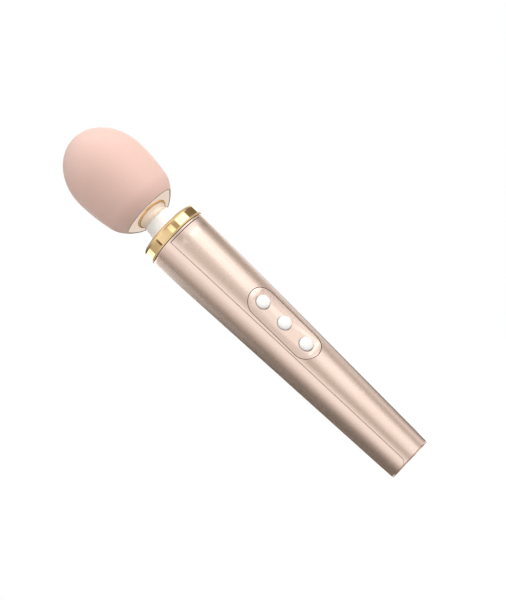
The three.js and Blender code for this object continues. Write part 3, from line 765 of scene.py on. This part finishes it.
def keypad_insert():
    points = [(x, 0, z) for x, z in oval(PAD_HALF_WIDTH)]
    pad = drawn("keypad_insert", points + points[:1])
    bpy.ops.mesh.edge_face_add()
    push = (0, PAD_BACK * MM, 0)
    bpy.ops.mesh.extrude_region_move(TRANSFORM_OT_translate={"value": push})
    bpy.ops.mesh.select_all(action="SELECT")
    bpy.ops.mesh.normals_make_consistent(inside=False)
    bpy.ops.mesh.select_all(action="DESELECT")
    mesh = bmesh.from_edit_mesh(pad.data)
    for face in mesh.faces:
        face.select = face.normal.y < -0.9
    bmesh.update_edit_mesh(pad.data)
    rings = 10
    for thickness in [PAD_ROUND, DISH_EDGE - PAD_ROUND, *[DISH_RUN / rings] * rings]:
        bpy.ops.mesh.inset(thickness=thickness * MM, depth=0)
    bpy.ops.object.mode_set(mode="OBJECT")
    for vertex in pad.data.vertices:
        if vertex.co.y < MM:
            vertex.co.y = pad_depth(vertex.co.x / MM, vertex.co.z / MM) * MM
    ease(pad, PAD_EASE, angle=60)
    for height in BUTTONS.values():
        drill(pad, BUTTON_R + FIT, PAD_DRILL, facing_in(height))
    cleaned(pad, PAD_MERGE)
    seated(pad, KEYPAD)
    shown(pad, "handle", "rose_gold_shell", "button_pad")


def facing_in(height):
    """Turns an upright piece so that its top points into the handle, at a height on the keypad."""
    return Matrix.Translation((0, 0, height * MM)) @ Matrix.Rotation(radians(-90), 4, "X")


def button_cap(name, height):
    edge = BUTTON_DOME - BUTTON_CROWN
    crown = []
    steps = 24
    for i in range(steps + 1):
        a = pi / 2 * i / steps
        rise = BUTTON_DOME * cos(a) ** BUTTON_FULLNESS if i < steps else 0
        crown.append((BUTTON_R * sin(a) ** BUTTON_FULLNESS, edge - rise))
    back = BUTTON_BACK + BUTTON_FLANGE
    cap = turned(
        f"button_cap_{name}",
        [
            *crown,
            (BUTTON_R, BUTTON_BACK),
            (BUTTON_FLANGE_R - BUTTON_CHAMFER, BUTTON_BACK),
            (BUTTON_FLANGE_R, BUTTON_BACK + BUTTON_CHAMFER),
            (BUTTON_FLANGE_R, back - BUTTON_CHAMFER),
            (BUTTON_FLANGE_R - BUTTON_CHAMFER, back),
            (BUTTON_STEM_R, back),
            (BUTTON_STEM_R, back + BUTTON_STEM),
            (0, back + BUTTON_STEM),
        ],
        SMALL_ROUND,
    )
    seated(cap, KEYPAD @ facing_in(height))
    shown(cap, f"button_{name}", "white_button", f"button_{name}")


# ---- Collar and neck ----------------------------------------------------------------------


def skirt_radius():
    """Radius of the neck's foot, which fills the collar's mouth."""
    return COLLAR.radius - COLLAR_LIP - FIT


def collar():
    inner = COLLAR.radius - COLLAR_WALL
    mouth = skirt_radius() + FIT
    top = COLLAR.high
    bead = COLLAR_BEAD
    band = COLLAR.radius - BAND_STEP
    ring = turned(
        "collar_gold_ring",
        [
            (inner, COLLAR.low),
            *arc((COLLAR.radius - bead, COLLAR.low + bead), bead, -90, 60, 8),
            (band - BAND_EASE, COLLAR.low + 2 * bead),
            (band, COLLAR.low + 2 * bead + BAND_EASE),
            *arc((band - COLLAR_FILLET, top - COLLAR_FILLET), COLLAR_FILLET, 0, 90, 12),
            *arc((mouth + MOUTH_EASE, top - MOUTH_EASE), MOUTH_EASE, 90, 180, 4),
            (mouth, top - COLLAR_WALL),
            (inner, top - COLLAR_WALL),
        ],
        256,
    )
    shown(ring, "handle", "yellow_gold", "collar_ring")


def neck_radius(z):
    """Outer radius of the neck's column: full at the collar, then a waist and a straight top."""
    waist = TRIM.low - NECK_WAIST
    t = min(max((z - COLLAR.high) / (waist - COLLAR.high), 0), 1)
    t = t * t * (3 - 2 * t)
    if z <= waist:
        return NECK_BASE_R + (NECK_WAIST_R - NECK_BASE_R) * t
    u = min((z - waist) / (TRIM.low - waist), 1)
    return NECK_WAIST_R + (NECK_TOP_R - NECK_WAIST_R) * u


def levels(low, high):
    """Even heights from low to high, for the neck's rings."""
    count = round((high - low) / NECK_STEP)
    return [low + (high - low) * i / count for i in range(count + 1)]


def neck_column():
    """The neck in two halves that meet at its pivot."""
    flange_top = SLEEVE.low + NECK_FLANGE
    top_flange_r = NECK_TOP_R + TOP_FLANGE
    top_flange = SLEEVE.high - TOP_FLANGE_WALL
    skirt = skirt_radius()
    skirt_low = COLLAR.high - COLLAR_WALL + SKIRT_GAP
    skirt_high = skirt_low + SKIRT
    fillet = SKIRT_FILLET
    lower = [
        (SLEEVE.radius - NECK_EDGE, SLEEVE.low),
        (SLEEVE.radius, SLEEVE.low + NECK_EDGE),
        (SLEEVE.radius, flange_top - NECK_EDGE),
        (SLEEVE.radius - NECK_EDGE, flange_top),
        *[(neck_radius(z), z) for z in levels(flange_top, skirt_low)],
        (skirt, skirt_low),
        (skirt, skirt_high - NECK_EDGE),
        (skirt - NECK_EDGE, skirt_high - SKIRT_FALL),
        *arc((NECK_BASE_R + fillet, skirt_high + fillet), fillet, 270, 180, 6),
        *[(neck_radius(z), z) for z in levels(skirt_high + SKIRT_CLEAR, PIVOT)],
    ]
    upper = [
        *[(neck_radius(z), z) for z in levels(PIVOT, top_flange)],
        (top_flange_r - NECK_EDGE, top_flange),
        (top_flange_r, top_flange + NECK_EDGE),
        (top_flange_r, SLEEVE.high),
    ]
    bore = [(NECK_BORE, z) for z in levels(SLEEVE.low, PIVOT)][::-1]
    low_half = turned("neck_column_lower", lower + bore, 128)
    bore = [(NECK_BORE, z) for z in levels(PIVOT, SLEEVE.high)][::-1]
    high_half = turned("neck_column_upper", upper + bore, 128)
    shown(low_half, None, "white_elastomer", "neck_sleeve")
    shown(high_half, None, "white_elastomer", "neck_sleeve")
    flex(low_half, high_half)


def flex(low_half, high_half):
    """Bakes the places of two halves that meet at the neck's pivot into their meshes, without
    bending them.
    """
    heights = (COLLAR.high - FLEX_IN, PIVOT, TRIM.low + FLEX_IN)
    low, middle, high = [(0, 0, z * MM) for z in heights]
    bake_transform(low_half)
    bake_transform(high_half)


def neck_core(node, finish, name):
    """The spring or a lead inside the neck, in two rounded halves cut at its pivot."""
    halves = []
    for half, upper in (("lower", False), ("upper", True)):
        bpy.ops.object.select_all(action="DESELECT")
        piece = bpy.data.objects.new(f"{name}_{half}", frame["nodes"][node].data.copy())
        bpy.context.scene.collection.objects.link(piece)
        alone(piece)
        bpy.ops.object.mode_set(mode="EDIT")
        bpy.ops.mesh.select_all(action="SELECT")
        bpy.ops.mesh.remove_doubles(threshold=WELD * MM)
        bpy.ops.mesh.bisect(
            plane_co=(0, 0, PIVOT * MM),
            plane_no=(0, 0, 1),
            use_fill=True,
            clear_inner=upper,
            clear_outer=not upper,
        )
        bpy.ops.object.mode_set(mode="OBJECT")
        shape(piece, "SUBSURF", levels=2, render_levels=2)
        halves.append(shown(piece, None, finish, node))
    flex(*halves)


# ---- Head ---------------------------------------------------------------------------------


def underside(start, end, steps):
    """Points along the curve under the head, between two shares of it."""
    p = [Vector(point) for point in UNDERSIDE]
    for i in range(steps + 1):
        t = start + (end - start) * i / steps
        u = 1 - t
        r, h = u**3 * p[0] + 3 * u * u * t * p[1] + 3 * u * t * t * p[2] + t**3 * p[3]
        yield r, HEAD.low + h


def trim_bowl():
    """The polished bowl under the head, from a lip inside the cover down to the neck's mouth."""
    outside = [*underside(TRIM_EDGE, 1, 32)]
    edge_r, edge_z = outside[0]
    inside = [(r, z + TRIM_RISE) for r, z in outside if r < edge_r - TRIM_WALL]
    lip_r = edge_r - LIP_IN
    lip = [
        (lip_r - LIP_WALL, HEAD.low + LIP_BACK),
        (lip_r, HEAD.low + LIP_FRONT),
        (lip_r, edge_z),
    ]
    ring = turned("head_trim_bowl", [*outside, *reversed(inside), *lip])
    shown(ring, "head", "copper_gold", "head_trim")


def side(radius, foot, steps):
    """The head's side: an arc from its foot (radius, height) up to the widest ring."""
    rise = radius - foot[0]
    drop = HEAD_SIDE - foot[1]
    arc_r = (drop**2 + rise**2) / (2 * rise)
    for i in range(steps + 1):
        h = foot[1] + drop * i / steps
        yield radius - arc_r + sqrt(arc_r**2 - (HEAD_SIDE - h) ** 2), HEAD.low + h


def dome(radius, height, steps):
    """A half ellipse from the widest ring to the crown."""
    for i in range(1, steps + 1):
        a = pi / 2 * i / steps
        yield radius * cos(a) if i < steps else 0, HEAD.low + HEAD_SIDE + height * sin(a)


def cover():
    """The soft cover: a rounded edge at the trim, the side, and the dome, with a wall inside."""
    height = HEAD.high - HEAD.low - HEAD_SIDE
    outside = [
        *underside(COVER_EDGE, 0, 18),
        *[*side(HEAD.radius, UNDERSIDE[0], 20)][1:],
        *dome(HEAD.radius, height, 32),
    ]
    edge_r, edge_z = outside[0]
    foot = (TRIM.radius + RIM_OUT - CORE_CLEAR + CORE_GAP, edge_z - HEAD.low + COVER_HEM)
    inside = [
        *side(HEAD.radius - COVER_WALL, foot, 20),
        *dome(HEAD.radius - COVER_WALL, height - COVER_WALL, 32),
    ]
    skin = turned("head_soft_cover", [*reversed(inside), (edge_r - COVER_HEM, edge_z), *outside])
    shown(skin, "head", "pink_silicone", "head_cover")


# ---- Studio -------------------------------------------------------------------------------

CAMERA_AZIMUTH = radians(-26)
CAMERA_DISTANCE = 1.0429  # metres, from the wand's axis
CAMERA_HEIGHT = 0.010
CAMERA_LENS = 115.95
CAMERA_ROLL = radians(-46.425)
AIM_RIGHT = 0.00402  # metres, of the wand's axis
AIM_HEIGHT = 0.12098


def camera():
    across = Vector((cos(CAMERA_AZIMUTH), sin(CAMERA_AZIMUTH), 0))
    back = Vector((sin(CAMERA_AZIMUTH), -cos(CAMERA_AZIMUTH), 0))
    place = back * CAMERA_DISTANCE + Vector((0, 0, CAMERA_HEIGHT))
    aim = across * AIM_RIGHT + Vector((0, 0, AIM_HEIGHT))
    data = bpy.data.cameras.new("camera")
    data.lens = CAMERA_LENS
    data.clip_start = 0.05
    made = bpy.data.objects.new("camera", data)
    bpy.context.scene.collection.objects.link(made)
    made.rotation_mode = "QUATERNION"
    made.location = place
    facing = (aim - place).to_track_quat("-Z", "Y")
    made.rotation_quaternion = facing @ Quaternion((0, 0, 1), CAMERA_ROLL)
    bpy.context.scene.camera = made


def floor():
    """Pale paper, dimmer to the wand than to the camera, so that it lights the wand less."""
    bpy.ops.object.select_all(action="DESELECT")
    bpy.ops.mesh.primitive_circle_add(vertices=96, radius=3.2, fill_type="NGON")
    sheet = named("studio_floor")
    finish = Finish("studio_paper", Roughness=0.85, Emission_Color=(1.0, 0.995, 0.99))
    finish.set("Emission Strength", 0.5)
    fibre = finish.noise(2.5, 4)
    finish.set("Base Color", finish.mix(fibre, (0.86, 0.86, 0.86), (0.9, 0.9, 0.9)))
    dim = finish.node("ShaderNodeBsdfDiffuse", {}, {"Color": (0.45, 0.44, 0.43, 1.0)})
    seen = finish.node("ShaderNodeLightPath", output="Is Camera Ray")
    paper = Flow(finish, finish.nodes["Principled BSDF"].outputs[0])
    both = finish.node("ShaderNodeMixShader", {}, {0: seen, 1: dim, 2: paper})
    finish.feed(finish.nodes["Material Output"].inputs["Surface"], both)
    sheet.data.materials.append(finish.material)
    sheet.visible_glossy = False


# Bands of the tent, from -1 straight below to 1 straight above
DRAW_IN = (-0.06, 0.11)  # the low screens widen to their true bearings over this
DRAWN_IN = 1.45  # and are this much narrower below it
RING_RISE = (0.13, 0.148)  # the high ring takes over from the low one
RING_FALL = (0.2, 0.26)  # and gives way to it again
OVERHEAD = (0.35, 0.9)
BELOW = (-0.12, -0.22)

PEAK = 3.0  # brightest screen

# Screens round the wand: (bearing in degrees to the right of the camera, brightness).
# The handle leans back a little and mirrors the low ones, the collar the high ones.
LOW_SCREENS = [
    (-180, 0.18),
    (-150, 0.07),
    (-112, 0.11),
    (-92, 0.35),
    (-72, 0.86),
    (-54, 1.16),
    (-24, 1.20),
    (-12, 0.84),
    (-2, 0.56),
    (8, 0.42),
    (18, 0.54),
    (32, 0.95),
    (48, 1.20),
    (92, 1.16),
    (104, 0.60),
    (113, 0.34),
    (130, 0.38),
    (144, 0.95),
    (168, 0.95),
    (176, 0.40),
    (180, 0.18),
]
HIGH_SCREENS = [
    (-180, 2.00),
    (-157, 2.20),
    (-104, 1.90),
    (-100, 0.60),
    (-59, 0.66),
    (-57, 0.12),
    (-51, 0.12),
    (-49, 1.05),
    (0, 0.95),
    (3, 1.70),
    (17, 1.60),
    (21, 0.55),
    (37, 0.50),
    (40, 2.80),
    (51, 2.80),
    (51.6, 0.70),
    (52.8, 0.70),
    (53.4, 2.80),
    (65, 2.80),
    (65.6, 0.70),
    (66.8, 0.70),
    (67.4, 2.80),
    (83, 2.60),
    (87, 0.26),
    (142, 0.22),
    (147, 1.60),
    (180, 2.00),
]


def screen_colour(value):
    """Dim screens are brown, bright ones white."""
    warm = min(value, 1.0)
    return value / PEAK, value * (0.8 + 0.2 * warm) / PEAK, value * (0.62 + 0.38 * warm) / PEAK


def screens(tree, turn, ring):
    """The light of one ring of screens, where turn runs from 0 to 1 round it."""
    stops = [((a + 180) / 360, screen_colour(value)) for a, value in ring]
    dim = tree.node("ShaderNodeValToRGB", {"stops": stops}, {"Fac": turn})
    return tree.node("ShaderNodeVectorMath", {"operation": "SCALE"}, {0: dim, "Scale": PEAK})


def world():
    """A light tent: white to the camera, and pale and dim screens to the wand."""
    made = bpy.data.worlds.new("studio")
    bpy.context.scene.world = made
    tree = Tree(made)
    direction = tree.node("ShaderNodeTexCoord", output="Generated")
    x, y, z = [tree.node("ShaderNodeSeparateXYZ", {}, {0: direction}, axis) for axis in "XYZ"]
    bearing = x.math("ARCTAN2", x, 0 - y) - CAMERA_AZIMUTH
    bearing = bearing.math("WRAP", bearing, pi, -pi)
    narrowing = tree.between(z, DRAW_IN, DRAWN_IN, 1.0)
    low = screens(tree, bearing * narrowing / (2 * pi) + 0.5, LOW_SCREENS)
    high = screens(tree, bearing / (2 * pi) + 0.5, HIGH_SCREENS)
    rise = tree.between(z, RING_RISE)
    fall = tree.between(z, RING_FALL)
    ring = tree.mix(rise * (1 - fall), low, high)
    light = tree.mix(tree.between(z, OVERHEAD), ring, (0.8, 0.8, 0.8))
    light = tree.mix(tree.between(z, BELOW), light, (0.85, 0.83, 0.81))
    seen = tree.node("ShaderNodeLightPath", output="Is Camera Ray")
    light = tree.mix(seen, light, (1.0, 1.0, 1.0))
    tree.feed(tree.nodes["Background"].inputs["Color"], light)


def softbox(name, bearing, elevation, distance, size, power, mirrored=True):
    """A square lamp that looks at the middle of the wand, with its place in degrees and metres."""
    data = bpy.data.lights.new(name, "AREA")
    data.size = size
    data.energy = power
    lamp = bpy.data.objects.new(name, data)
    bpy.context.scene.collection.objects.link(lamp)
    a, e = radians(bearing), radians(elevation)
    away = Vector((sin(a) * cos(e), -cos(a) * cos(e), sin(e)))
    middle = Vector((0, 0, HEAD.high / 2 * MM))
    lamp.location = middle + away * distance
    lamp.rotation_mode = "QUATERNION"
    lamp.rotation_quaternion = (-away).to_track_quat("-Z", "Y")
    lamp.visible_glossy = mirrored


def studio():
    bpy.context.scene.view_settings.view_transform = "Standard"
    world()
    floor()
    softbox("key", bearing=42, elevation=14, distance=1.2, size=1.0, power=9.3, mirrored=False)
    softbox("top", bearing=-30, elevation=75, distance=1.2, size=0.9, power=1.0)
    softbox("fill", bearing=-60, elevation=0, distance=1.6, size=0.9, power=3.4, mirrored=False)


# ---- Everything ---------------------------------------------------------------------------


def finish_inner_nodes():
    """Gives every node the finish of its own slot."""
    for part in frame["record"]["subparts"]:
        for place in frame["nodes"][part["node"]].material_slots:
            place.material = FINISHES[part["material_slot"]]


camera()
studio()
finish_inner_nodes()
back_shell()
front_panel()
end_cap()
keypad_insert()
for button, height in BUTTONS.items():
    button_cap(button, height)
collar()
neck_column()
neck_core("neck_spring", "steel", "neck_coil")
neck_core("motor_lead_red", "red_sleeve", "neck_lead_red")
neck_core("motor_lead_black", "black_sleeve", "neck_lead_black")
trim_bowl()
cover()
